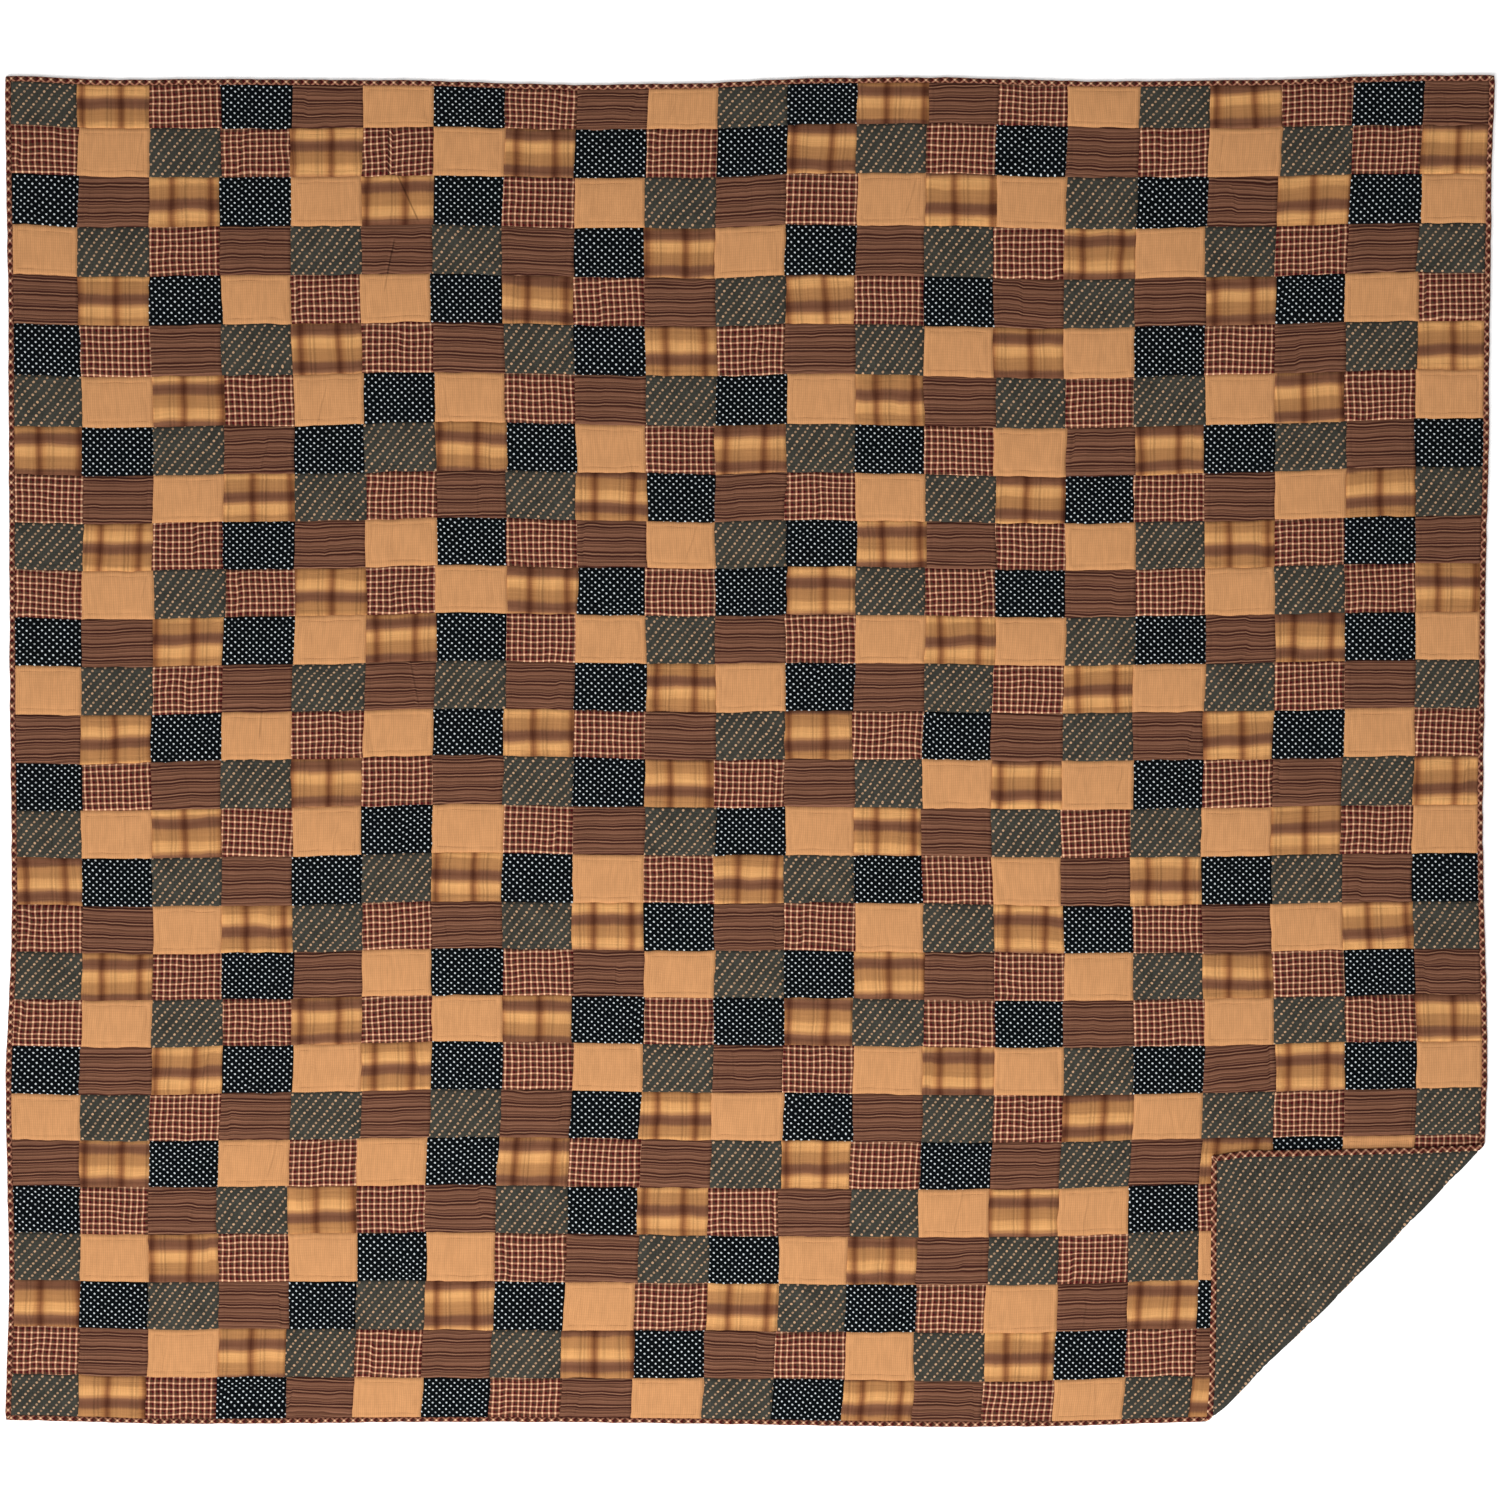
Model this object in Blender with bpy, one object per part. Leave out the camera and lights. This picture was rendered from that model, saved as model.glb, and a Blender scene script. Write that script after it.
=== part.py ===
"""A king-size patchwork quilt, laid flat with one corner turned back over its front.

The quilt has three sewn pieces: the pieced top, the backing and the binding strip.
Each is first built flat on the cut rectangle, then laid slightly out of true, and
last rolled over at the turned corner, all three by the same two maps, so that the
gaps between them stay as they were cut.
"""

import math
from collections import namedtuple

import bmesh
import bpy
import numpy as np

# The cut rectangle and its patches. Metres throughout.
WIDTH = 2.667
LENGTH = 2.413
COLUMNS = 21
ROWS = 28

# The layers, as heights over the middle plane between the top and the backing.
HALF_THICKNESS = 0.0030
SEAM_HEIGHT = 0.0024
CROWN_HEIGHT = 0.0034
RIM_HEIGHT = 0.0015
GAP = 0.0003

# The binding: a strip folded over the raw edge, with a leg on each face.
BINDING_WIDTH = 0.0095
BINDING_CLOTH = 0.0012
BINDING_SHOULDER = 0.0020
BINDING_EDGE_HEIGHT = 0.0014
EDGE_CLEARANCE = 0.0008
LEG_CLEARANCE = 0.0008
RIM_SLOPE = 0.0032

# The turned corner: a straight roll across the lower right corner.
FOLD_ANGLE = math.radians(-45.0)
FOLD_EDGE = 1.4418
FOLD_RADIUS = 0.0046
FOLD_STEPS = 8

# How the outline strays outwards from the cut rectangle, by the share of the side.
Stray = namedtuple("Stray", "share outwards")
LEFT_SIDE = (
    Stray(0.00, 0.004),
    Stray(0.11, -0.002),
    Stray(0.25, 0.004),
    Stray(0.39, -0.007),
    Stray(0.60, -0.003),
    Stray(0.80, -0.001),
    Stray(1.00, 0.005),
)
RIGHT_SIDE = (
    Stray(0.00, -0.022),
    Stray(0.03, -0.014),
    Stray(0.14, -0.010),
    Stray(0.25, -0.004),
    Stray(0.45, -0.013),
    Stray(0.60, -0.009),
    Stray(0.76, -0.002),
    Stray(0.91, 0.002),
    Stray(1.00, 0.008),
)
BOTTOM_SIDE = (
    Stray(0.00, -0.002),
    Stray(0.12, 0.005),
    Stray(0.32, 0.001),
    Stray(0.68, 0.010),
    Stray(0.80, 0.006),
    Stray(0.90, 0.002),
    Stray(1.00, 0.001),
)
TOP_SIDE = (
    Stray(0.00, 0.008),
    Stray(0.07, 0.001),
    Stray(0.15, 0.002),
    Stray(0.26, 0.000),
    Stray(0.38, -0.008),
    Stray(0.45, -0.006),
    Stray(0.55, 0.004),
    Stray(0.62, 0.005),
    Stray(0.74, -0.002),
    Stray(0.82, 0.000),
    Stray(0.96, 0.009),
    Stray(1.00, 0.009),
)

# How far the seams drift inside that outline, in millimetres, by the share of the length from
# the lower edge and, from column to column, of the width. It dies out at the outline.
Drift = namedtuple("Drift", "along left sixth third middle two_thirds five_sixths right")
DRIFT_TO_RIGHT = (
    Drift(0.04, 4, -2, -14, -9, -12, -12, -10),
    Drift(0.15, 3, -4, -9, -4, -8, -8, -4),
    Drift(0.27, 5, 7, 4, 2, 0, -3, 0),
    Drift(0.39, 4, 0, -2, 3, -1, -4, -5),
    Drift(0.50, -1, 1, 4, 6, -3, 0, 1),
    Drift(0.61, 2, 8, 11, 6, 4, 1, 1),
    Drift(0.73, 6, 7, 7, 4, -1, -5, -4),
    Drift(0.85, -2, 1, 0, 3, -5, -6, -4),
    Drift(0.96, 3, 5, 7, 6, 0, 1, 3),
)
DRIFT_UPWARDS = (
    Drift(0.04, -3, -2, -7, -4, -4, 1, -1),
    Drift(0.15, -8, -4, -4, -7, -5, 2, -2),
    Drift(0.27, -18, -10, -4, -8, -11, -8, -6),
    Drift(0.39, -22, -18, -10, -12, -14, -16, -16),
    Drift(0.50, -27, -15, -6, -13, -14, -13, -13),
    Drift(0.61, -24, -17, -8, -12, -15, -13, -13),
    Drift(0.73, -26, -20, -9, -15, -22, -16, -12),
    Drift(0.85, -12, -7, -1, -7, -13, -8, -9),
    Drift(0.96, 0, -3, 5, 4, 4, 0, -3),
)
DRIFT_SHARES = (0, 1 / 6, 1 / 3, 1 / 2, 2 / 3, 5 / 6, 1)

# Colour and roughness of each cloth.
Cloth = namedtuple("Cloth", "name colour roughness")
TOP_CLOTH = Cloth("patchwork_cloth", (0.27, 0.15, 0.08), 0.9)
BACKING_CLOTH = Cloth("backing_cloth", (0.06, 0.06, 0.05), 0.9)
BINDING_STRIP_CLOTH = Cloth("binding_cloth", (0.20, 0.08, 0.05), 0.9)


def clear_scene():
    for thing in list(bpy.data.objects):
        bpy.data.objects.remove(thing, do_unlink=True)


def eased_place(position, stations):
    """The station before a position, and the share of the way on, with soft turns at both."""
    place = np.interp(position, stations, range(len(stations)))
    station = min(int(place), len(stations) - 2)
    part = place - station
    return station, part * part * (3 - 2 * part)


def eased(position, side):
    """The side's stray at a share of its length."""
    row, part = eased_place(position, [stray.share for stray in side])
    return side[row].outwards * (1 - part) + side[row + 1].outwards * part


def drifted(across, along, table):
    """The drift at a place inside the outline, in metres."""
    row, upwards = eased_place(along, [line.along for line in table])
    column, rightwards = eased_place(across, DRIFT_SHARES)
    near, far = (
        line[1 + column] * (1 - rightwards) + line[2 + column] * rightwards
        for line in table[row : row + 2]
    )
    return (near * (1 - upwards) + far * upwards) / 1000


def laid(x, y):
    """Where a point of the cut rectangle lies once the quilt is spread out by hand."""
    across = x / WIDTH + 0.5
    along = y / LENGTH + 0.5
    sideways = across * eased(along, RIGHT_SIDE) - (1 - across) * eased(along, LEFT_SIDE)
    lengthways = along * eased(across, TOP_SIDE) - (1 - along) * eased(across, BOTTOM_SIDE)
    off_sides = min(1, COLUMNS * across, COLUMNS * (1 - across))
    off_ends = min(1, ROWS * along, ROWS * (1 - along))
    return (
        x + sideways + off_sides * drifted(across, along, DRIFT_TO_RIGHT),
        y + lengthways + off_ends * drifted(across, along, DRIFT_UPWARDS),
    )


def fold_direction():
    """The unit vector in the floor that points across the fold, to the turned corner."""
    return math.cos(FOLD_ANGLE), math.sin(FOLD_ANGLE)


def roll_start():
    """How far from the middle of the quilt the cloth leaves the floor."""
    return FOLD_EDGE - FOLD_RADIUS - HALF_THICKNESS


def roll_stations():
    """The lengths of cloth past the start of the roll at which its facets meet."""
    return [math.pi * FOLD_RADIUS * step / FOLD_STEPS for step in range(FOLD_STEPS + 1)]


def rolled(x, y, height):
    """A laid point after the corner is turned back. Facets are flat between the stations."""
    across_x, across_y = fold_direction()
    across = x * across_x + y * across_y
    along = y * across_x - x * across_y
    past = across - roll_start()
    if past <= 0:
        return x, y, height
    stations = roll_stations()
    turns = [length / FOLD_RADIUS for length in stations]
    reach = np.interp(past, stations, [FOLD_RADIUS * math.sin(turn) for turn in turns])
    rise = np.interp(past, stations, [FOLD_RADIUS * (1 - math.cos(turn)) for turn in turns])
    lean = np.interp(past, stations, [-math.sin(turn) for turn in turns])
    upright = np.interp(past, stations, [math.cos(turn) for turn in turns])
    returned = max(past - stations[-1], 0.0)
    across = roll_start() + reach - returned + lean * height
    return (
        across * across_x - along * across_y,
        across * across_y + along * across_x,
        rise + upright * height,
    )


def cut_lines(size, patches):
    """Distances from the middle of the cut rectangle to its rim lines and its seams."""
    half = size / 2
    leg_end = half - BINDING_WIDTH
    raw_edge = half - BINDING_CLOTH - EDGE_CLEARANCE
    slope_foot = leg_end - LEG_CLEARANCE
    rim = [raw_edge, slope_foot, slope_foot - RIM_SLOPE]
    seams = [half - size * count / patches for count in range(1, patches)]
    return [-line for line in rim] + seams[::-1] + rim[::-1]


def lift_off_flat(mesh):
    """Lays the flat mesh out of true, cuts it where the roll's facets meet, and rolls it."""
    for vertex in mesh.verts:
        vertex.co.x, vertex.co.y = laid(vertex.co.x, vertex.co.y)
    across_x, across_y = fold_direction()
    for length in roll_stations():
        away = roll_start() + length
        bmesh.ops.bisect_plane(
            mesh,
            geom=mesh.verts[:] + mesh.edges[:] + mesh.faces[:],
            plane_co=(away * across_x, away * across_y, 0),
            plane_no=(across_x, across_y, 0),
            dist=1e-6,
        )
    bmesh.ops.triangulate(mesh, faces=mesh.faces[:])
    for vertex in mesh.verts:
        vertex.co = rolled(*vertex.co)
        vertex.co.z += HALF_THICKNESS
    bmesh.ops.recalc_face_normals(mesh, faces=mesh.faces[:])


def cloth_material(cloth):
    material = bpy.data.materials.new(cloth.name)
    material.use_nodes = True
    shader = material.node_tree.nodes["Principled BSDF"]
    shader.inputs["Base Color"].default_value = (*cloth.colour, 1.0)
    shader.inputs["Roughness"].default_value = cloth.roughness
    shader.inputs["Metallic"].default_value = 0.0
    return material


def add_piece(name, mesh, cloth):
    data = bpy.data.meshes.new(name)
    mesh.to_mesh(data)
    mesh.free()
    data.materials.append(cloth_material(cloth))
    data.shade_smooth()
    data.set_sharp_from_angle(angle=math.radians(40))
    piece = bpy.data.objects.new(name, data)
    bpy.context.scene.collection.objects.link(piece)
    return piece


def layer(name, cloth, side, seam_height, crown_height):
    """One layer of the quilt: a flat inner face, and an outer face that thins at the rim.

    side is 1 for the top and -1 for the backing. Without a crown the outer face is flat.
    """
    mesh = bmesh.new()
    lines_x = cut_lines(WIDTH, COLUMNS)
    lines_y = cut_lines(LENGTH, ROWS)
    last_x = len(lines_x) - 1
    last_y = len(lines_y) - 1

    def outer_height(column, row):
        in_rim = min(column, row, last_x - column, last_y - row) < 2
        return side * (RIM_HEIGHT if in_rim else seam_height)

    grid = [
        [mesh.verts.new((x, y, outer_height(column, row))) for row, y in enumerate(lines_y)]
        for column, x in enumerate(lines_x)
    ]
    flat = []
    for column in range(last_x):
        for row in range(last_y):
            corners = [
                grid[column][row],
                grid[column + 1][row],
                grid[column + 1][row + 1],
                grid[column][row + 1],
            ]
            inside = 2 <= column < last_x - 2 and 2 <= row < last_y - 2
            if not (inside and crown_height):
                face = mesh.faces.new(corners)
                flat += [face] * inside
                continue
            middle_x = (lines_x[column] + lines_x[column + 1]) / 2
            middle_y = (lines_y[row] + lines_y[row + 1]) / 2
            middle = mesh.verts.new((middle_x, middle_y, side * crown_height))
            for first, second in zip(corners, corners[1:] + corners[:1]):
                mesh.faces.new((first, second, middle))
    if flat:
        bmesh.ops.dissolve_faces(mesh, faces=flat, use_verts=True)

    rim = [grid[column][0] for column in range(last_x)]
    rim += [grid[last_x][row] for row in range(last_y)]
    rim += [grid[column][last_y] for column in range(last_x, 0, -1)]
    rim += [grid[0][row] for row in range(last_y, 0, -1)]
    inner = [mesh.verts.new((vertex.co.x, vertex.co.y, side * GAP / 2)) for vertex in rim]
    for count, vertex in enumerate(rim):
        after = (count + 1) % len(rim)
        mesh.faces.new((vertex, inner[count], inner[after], rim[after]))
    mesh.faces.new(inner)
    lift_off_flat(mesh)
    return add_piece(name, mesh, cloth)


def binding_section():
    """The strip's closed outline, as (distance in from the edge, height)."""
    top = HALF_THICKNESS
    slot = HALF_THICKNESS - BINDING_CLOTH
    upper = [
        (BINDING_CLOTH, slot),
        (BINDING_WIDTH, slot),
        (BINDING_WIDTH, top),
        (BINDING_SHOULDER, top),
        (0.0, BINDING_EDGE_HEIGHT),
    ]
    return upper + [(inwards, -height) for inwards, height in reversed(upper)]


def binding_rings():
    """Stations round the quilt: a place on the edge, and the way in from there."""
    lines_x = cut_lines(WIDTH, COLUMNS)[2:-2]
    lines_y = cut_lines(LENGTH, ROWS)[2:-2]
    half_x = WIDTH / 2
    half_y = LENGTH / 2
    rings = [((-half_x, -half_y), (1, 1))]
    rings += [((x, -half_y), (0, 1)) for x in lines_x]
    rings += [((half_x, -half_y), (-1, 1))]
    rings += [((half_x, y), (-1, 0)) for y in lines_y]
    rings += [((half_x, half_y), (-1, -1))]
    rings += [((x, half_y), (0, -1)) for x in reversed(lines_x)]
    rings += [((-half_x, half_y), (1, -1))]
    rings += [((-half_x, y), (1, 0)) for y in reversed(lines_y)]
    return rings


def binding(name, cloth):
    """The binding: its section carried round the quilt, with a mitre at each corner."""
    mesh = bmesh.new()
    loops = [
        [
            mesh.verts.new((x + inwards * in_x, y + inwards * in_y, height))
            for inwards, height in binding_section()
        ]
        for (x, y), (in_x, in_y) in binding_rings()
    ]
    for loop, after in zip(loops, loops[1:] + loops[:1]):
        for count, vertex in enumerate(loop):
            beside = (count + 1) % len(loop)
            mesh.faces.new((vertex, after[count], after[beside], loop[beside]))
    lift_off_flat(mesh)
    return add_piece(name, mesh, cloth)


def centre(pieces):
    """Moves all the pieces together, so that the middle of their box is over the origin."""
    corners = np.array([vertex.co for piece in pieces for vertex in piece.data.vertices])
    middle = (corners.min(axis=0) + corners.max(axis=0)) / 2
    for piece in pieces:
        for vertex in piece.data.vertices:
            vertex.co.x -= middle[0]
            vertex.co.y -= middle[1]


def main():
    clear_scene()
    centre(
        [
            layer("patchwork_top", TOP_CLOTH, 1, SEAM_HEIGHT, CROWN_HEIGHT),
            layer("backing", BACKING_CLOTH, -1, HALF_THICKNESS, 0),
            binding("binding", BINDING_STRIP_CLOTH),
        ]
    )


main()
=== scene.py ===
"""The patchwork quilt's looks: patches, backing and binding as fine cloth on the CAD's folds.

Everything is first worked out flat, on the cut rectangle, then laid slightly out of true
and rolled over at the turned corner by the same two maps as the CAD solids.
"""

import math
from collections import namedtuple
import bmesh
import bpy
import numpy as np
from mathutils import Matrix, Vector


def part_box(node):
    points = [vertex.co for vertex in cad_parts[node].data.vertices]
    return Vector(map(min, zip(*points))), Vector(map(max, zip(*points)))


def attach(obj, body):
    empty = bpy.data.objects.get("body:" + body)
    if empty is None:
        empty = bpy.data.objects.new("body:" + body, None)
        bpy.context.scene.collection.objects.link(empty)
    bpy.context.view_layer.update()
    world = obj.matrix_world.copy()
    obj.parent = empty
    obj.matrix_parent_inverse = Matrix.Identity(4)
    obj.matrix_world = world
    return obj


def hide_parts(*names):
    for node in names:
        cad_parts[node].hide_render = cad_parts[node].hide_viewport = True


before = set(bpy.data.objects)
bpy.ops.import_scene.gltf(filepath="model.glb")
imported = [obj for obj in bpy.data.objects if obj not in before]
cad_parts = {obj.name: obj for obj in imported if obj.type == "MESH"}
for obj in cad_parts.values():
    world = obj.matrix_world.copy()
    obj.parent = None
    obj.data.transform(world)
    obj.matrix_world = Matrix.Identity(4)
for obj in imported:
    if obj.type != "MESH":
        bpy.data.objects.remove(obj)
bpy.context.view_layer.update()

# The cut rectangle and its patches, as in the CAD. Metres throughout.
WIDTH = 2.667
LENGTH = 2.413
COLUMNS = 21
ROWS = 28
HALF_THICKNESS = 0.0030
BINDING_WIDTH = 0.0095
CAD_RIM = 0.0135
PATCH_WIDTH = WIDTH / COLUMNS
PATCH_LENGTH = LENGTH / ROWS

# The turned corner, as in the CAD.
FOLD_ANGLE = math.radians(-45.0)
FOLD_EDGE = 1.4418
FOLD_RADIUS = 0.0046
ROLL_START = FOLD_EDGE - FOLD_RADIUS - HALF_THICKNESS
ROLL_CUTS = 14
FLAP_SAG = 0.0013
FLAP_SAG_WITHIN = 0.10
FLAP_WAVE = 0.0003
FOLD_DRAW_REACH = 0.10

# The patches' fabrics, a letter each, from the top row down. The chart repeats both ways. A
# program sorted the patches in the photo into these six, and the repeat was found from that.
CHART = (
    "GPCNBTNCBTGNPBCT",
    "CTGCPCTPNCNPGCNB",
    "NBPNTPNCTGBCTPTG",
    "TGCBGBGBNPTNBGCP",
    "BPNTCTNPCBGPCNBG",
    "NCBGPCBGNPCBGTPT",
    "GTPCTNTCBGNTPBGC",
    "PNGBNGPNTCPGNCTB",
    "CBTPGCBGPNBCTGPN",
)
FABRICS = "GPCNBT"

# How the outline strays outwards from the cut rectangle, by the share of the side, at chosen
# stations. A program measured the values on the photo.
Stray = namedtuple("Stray", "share outwards")
LEFT_SIDE = (
    Stray(0.00, 0.004),
    Stray(0.11, -0.002),
    Stray(0.25, 0.004),
    Stray(0.39, -0.007),
    Stray(0.60, -0.003),
    Stray(0.80, -0.001),
    Stray(1.00, 0.005),
)
RIGHT_SIDE = (
    Stray(0.00, -0.022),
    Stray(0.03, -0.014),
    Stray(0.14, -0.010),
    Stray(0.25, -0.004),
    Stray(0.45, -0.013),
    Stray(0.60, -0.009),
    Stray(0.76, -0.002),
    Stray(0.91, 0.002),
    Stray(1.00, 0.008),
)
BOTTOM_SIDE = (
    Stray(0.00, -0.002),
    Stray(0.12, 0.005),
    Stray(0.32, 0.001),
    Stray(0.68, 0.010),
    Stray(0.80, 0.006),
    Stray(0.90, 0.002),
    Stray(1.00, 0.001),
)
TOP_SIDE = (
    Stray(0.00, 0.008),
    Stray(0.07, 0.001),
    Stray(0.15, 0.002),
    Stray(0.26, 0.000),
    Stray(0.38, -0.008),
    Stray(0.45, -0.006),
    Stray(0.55, 0.004),
    Stray(0.62, 0.005),
    Stray(0.74, -0.002),
    Stray(0.82, 0.000),
    Stray(0.96, 0.009),
    Stray(1.00, 0.009),
)

# How far the fold's edge is drawn in, by the place along it from the quilt's middle line.
FOLD_DRAWN_IN = (
    Stray(-0.27, 0.006),
    Stray(-0.22, 0.002),
    Stray(-0.10, 0.003),
    Stray(0.02, 0.000),
    Stray(0.20, 0.001),
    Stray(0.36, 0.004),
    Stray(0.44, 0.005),
)

# How far the seams drift inside that outline, in millimetres, by the share of the length from
# the lower edge and, from column to column, of the width. It dies out at the outline. A program
# measured the values on the photo; with all of them 0, the seams lie at an even pitch.
Drift = namedtuple("Drift", "along left sixth third middle two_thirds five_sixths right")
DRIFT_TO_RIGHT = (
    Drift(0.04, 4, -2, -14, -9, -12, -12, -10),
    Drift(0.15, 3, -4, -9, -4, -8, -8, -4),
    Drift(0.27, 5, 7, 4, 2, 0, -3, 0),
    Drift(0.39, 4, 0, -2, 3, -1, -4, -5),
    Drift(0.50, -1, 1, 4, 6, -3, 0, 1),
    Drift(0.61, 2, 8, 11, 6, 4, 1, 1),
    Drift(0.73, 6, 7, 7, 4, -1, -5, -4),
    Drift(0.85, -2, 1, 0, 3, -5, -6, -4),
    Drift(0.96, 3, 5, 7, 6, 0, 1, 3),
)
DRIFT_UPWARDS = (
    Drift(0.04, -3, -2, -7, -4, -4, 1, -1),
    Drift(0.15, -8, -4, -4, -7, -5, 2, -2),
    Drift(0.27, -18, -10, -4, -8, -11, -8, -6),
    Drift(0.39, -22, -18, -10, -12, -14, -16, -16),
    Drift(0.50, -27, -15, -6, -13, -14, -13, -13),
    Drift(0.61, -24, -17, -8, -12, -15, -13, -13),
    Drift(0.73, -26, -20, -9, -15, -22, -16, -12),
    Drift(0.85, -12, -7, -1, -7, -13, -8, -9),
    Drift(0.96, 0, -3, 5, 4, 4, 0, -3),
)
DRIFT_SHARES = (0, 1 / 6, 1 / 3, 1 / 2, 2 / 3, 5 / 6, 1)

# Creases in the cloth, each from its upper end to its lower end on the cut rectangle. The
# pattern slips along a crease, and its painted shadow and painted highlight have this strength.
Crease = namedtuple("Crease", "x0 y0 x1 y1 slip strength")
CREASES = (
    Crease(-0.653, 1.112, -0.652, 1.040, 0.0056, 0.75),
    Crease(-0.634, 1.030, -0.600, 0.960, 0.0000, 0.70),
    Crease(-0.641, 0.915, -0.651, 0.866, 0.0010, 0.80),
    Crease(-0.652, 0.860, -0.656, 0.838, 0.0000, 0.40),
    Crease(-0.617, 0.170, -0.601, 0.098, 0.0012, 0.45),
    Crease(-0.882, 0.085, -0.884, 0.046, 0.0000, 0.40),
    Crease(-1.258, -0.100, -1.262, -0.150, 0.0010, 0.45),
    Crease(0.902, -0.630, 0.900, -0.672, 0.0010, 0.60),
    Crease(1.199, -0.622, 1.198, -0.680, 0.0000, 0.45),
)
CREASE_DEPTH = 0.0016
CREASE_WIDTH = 0.010
CREASE_END = 0.012
CREASE_NEAR = 0.008
SLIP_REACH = 0.045

# The two painted lines of a crease, a painted shadow to its right and a painted highlight to
# its left: how far to its right each lies, where it starts to fade and where it ends, and how
# strong it is.
CreaseLine = namedtuple("CreaseLine", "place solid reach share")
CREASE_SHADOW = CreaseLine(0.0008, 0.0003, 0.0024, 0.62)
CREASE_HIGHLIGHT = CreaseLine(-0.0028, 0.0006, 0.0030, 0.14)

# The relief of the quilting: how deep each line lies, and how wide its trough is.
QUILT_INSET = 0.0102
SEAM_DEPTH = 0.0013
SEAM_TROUGH = 0.0022
QUILT_DEPTH = 0.0006
QUILT_TROUGH = 0.0026
PUFF = 0.0009
PUFF_REACH = 0.007
PUCKER = 0.00065
PUCKER_SIZE = 0.0115
PUCKER_REACH = 0.010
BROAD_PUCKER_SIZE = 0.023
SWELL = 0.0007
SWELL_SIZE = 0.050

# Distances in from a patch's edge at which its mesh has lines.
FINE_LINES = (0, 0.002, 0.005, 0.008, 0.0102, 0.0125, 0.0155, 0.021, 0.028, 0.0355, 0.045, 0.054)
COARSE_LINES = (0, 0.006, 0.0102, 0.0145, 0.030)

# Unevenness of the sewing.
SEAM_JOG = 0.0014
SEAM_LEAN = 0.0007
ROW_WAVE = 0.0009
RUFFLE = 0.0012
RUFFLE_RIM = 0.012
RUFFLE_SIZE = 0.031
FINE_RUFFLE_SIZE = 0.013
WOBBLE = 0.0009
WOBBLE_SIZE = 0.022
WOBBLE_RIM = 0.006
OFF_GRAIN = math.radians(1.1)
TUCK_SHARE = 0.6
TUCK_SLIP = 0.0036
TUCK_WIDTH = 0.0050
TUCK_DEPTH = 0.0010
TUCK_OFF_MIDDLE = 0.42
TUCK_LEAN = 0.12
TUCK_BEND = 0.0030
TUCK_BEND_SIZE = 0.03

# How far a cloth's pattern is pulled about, in broad and in fine waves.
Warp = namedtuple("Warp", "broad broad_size fine fine_size")
PATCH_WARP_ACROSS = Warp(0.0014, 0.042, 0.0007, 0.016)
PATCH_WARP_ALONG = Warp(0.0017, 0.036, 0.0007, 0.016)
BACKING_WARP = Warp(0.0021, 0.046, 0.0009, 0.017)

# Which columns reach the turned corner, and how much of the backing has the finer mesh there.
FINE_COLUMNS = 5
FINE_ROWS = 6


# ---------------------------------------------------------------- maps of the cloth


def eased_place(position, stations):
    """The station before each position, and the share of the way on, soft at both."""
    place = np.interp(position, stations, range(len(stations)))
    station = np.minimum(place.astype(int), len(stations) - 2)
    part = place - station
    return station, part * part * (3 - 2 * part)


def eased(position, side):
    """The side's stray at each share of its length."""
    row, part = eased_place(position, [stray.share for stray in side])
    outwards = np.array([stray.outwards for stray in side])
    return outwards[row] * (1 - part) + outwards[row + 1] * part


def drifted(across, along, table):
    """The drift at places inside the outline, in metres."""
    row, upwards = eased_place(along, [line.along for line in table])
    column, rightwards = eased_place(across, DRIFT_SHARES)
    drift = np.array([line[1:] for line in table]) / 1000
    near = drift[row, column] * (1 - rightwards) + drift[row, column + 1] * rightwards
    far = drift[row + 1, column] * (1 - rightwards) + drift[row + 1, column + 1] * rightwards
    return near * (1 - upwards) + far * upwards


def laid(x, y):
    """Where points of the cut rectangle lie once the quilt is spread out by hand."""
    across = x / WIDTH + 0.5
    along = y / LENGTH + 0.5
    sideways = across * eased(along, RIGHT_SIDE) - (1 - across) * eased(along, LEFT_SIDE)
    lengthways = along * eased(across, TOP_SIDE) - (1 - along) * eased(across, BOTTOM_SIDE)
    off_sides = np.clip(COLUMNS * np.minimum(across, 1 - across), 0, 1)
    off_ends = np.clip(ROWS * np.minimum(along, 1 - along), 0, 1)
    return (
        x + sideways + off_sides * drifted(across, along, DRIFT_TO_RIGHT),
        y + lengthways + off_ends * drifted(across, along, DRIFT_UPWARDS),
    )


def eased_step(value):
    value = np.clip(value, 0, 1)
    return value * value * (3 - 2 * value)


# How many values a net of noise has each way before it repeats.
NET = 97


def noise(x, y, size, seed):
    """Smooth noise from -1 to 1 over a square net of random values that lie size apart."""
    net = np.random.default_rng(seed).uniform(-1, 1, (NET, NET))
    column = np.floor(x / size).astype(int)
    row = np.floor(y / size).astype(int)
    right = eased_step(x / size - column)
    up = eased_step(y / size - row)
    low = net[column % NET, row % NET] * (1 - right) + net[(column + 1) % NET, row % NET] * right
    high = net[column % NET, (row + 1) % NET] * (1 - right)
    high += net[(column + 1) % NET, (row + 1) % NET] * right
    return low * (1 - up) + high * up


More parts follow.
